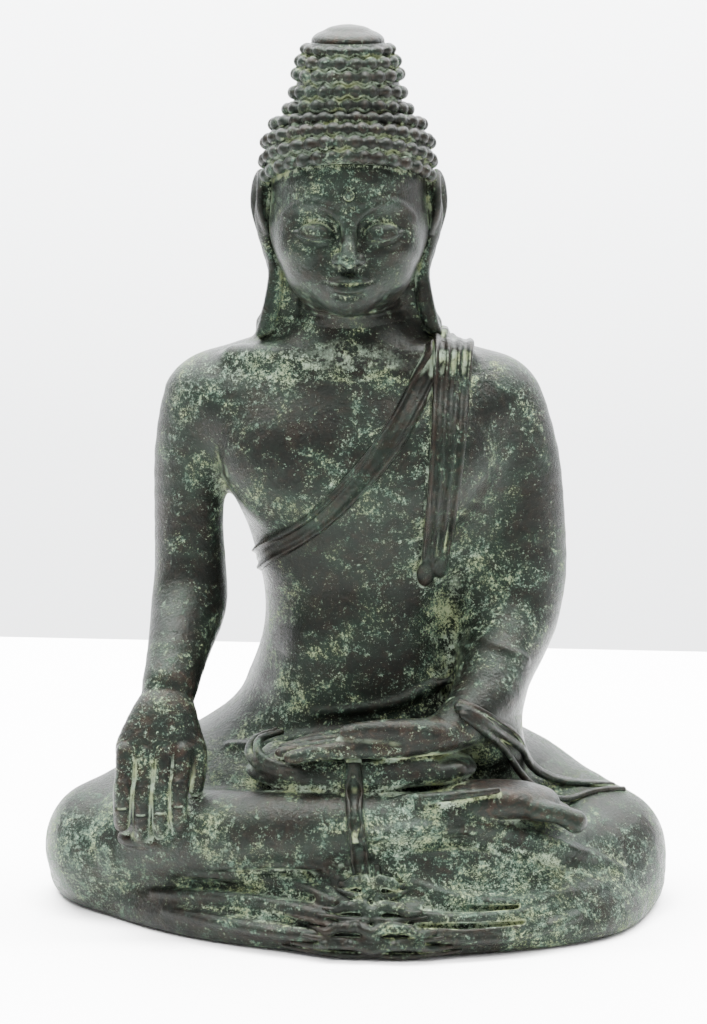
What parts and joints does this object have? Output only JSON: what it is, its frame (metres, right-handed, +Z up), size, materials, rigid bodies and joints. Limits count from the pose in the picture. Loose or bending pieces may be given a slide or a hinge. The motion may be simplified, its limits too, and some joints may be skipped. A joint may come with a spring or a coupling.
{
  "type": "buddha statue",
  "caption": "Seated Buddha in patinated cast bronze, legs folded, right hand touching the earth, left hand palm up in the lap; stands free on a flat felted base.",
  "frame": {"origin": "on the resting face, under the middle of the statue's bounding box", "axes": "+Z up from the resting face to the crown; the figure faces -Y, and its left side is +X"},
  "size_m": [0.21, 0.125, 0.3],
  "materials": {
    "bronze_body": "cast bronze, dark green and black patina with verdigris in the hollows",
    "bronze_hair": "cast bronze, dark patina, green between the curls",
    "bronze_worn": "cast bronze, rubbed smooth and brown by handling",
    "bronze_drapery": "cast bronze, raised drapery with verdigris along its edges",
    "plate_bronze": "rolled bronze sheet, dulled",
    "screw_brass": "turned brass, dulled",
    "felt": "pressed green wool felt"
  },
  "bodies": {
    "root": {"lap_casting": "bronze_body", "torso_casting": "bronze_body", "head_casting": "bronze_body", "hair_cap": "bronze_hair", "hair_curls": "bronze_hair", "ushnisha_casting": "bronze_hair", "topknot_curls": "bronze_hair", "crown_cap": "bronze_hair", "urna_bead": "bronze_hair", "right_ear": "bronze_body", "left_ear": "bronze_body", "right_arm": "bronze_body", "right_hand": "bronze_worn", "left_arm": "bronze_body", "left_hand": "bronze_worn", "right_foot": "bronze_worn", "shoulder_flap": "bronze_drapery", "robe_hem_band": "bronze_drapery", "sleeve_edge": "bronze_drapery", "sash_end": "bronze_drapery", "hem_fan": "bronze_drapery", "base_plate": "plate_bronze", "base_lugs": "plate_bronze", "base_screws": "screw_brass", "felt_pad": "felt"}
  },
  "joints": []
}
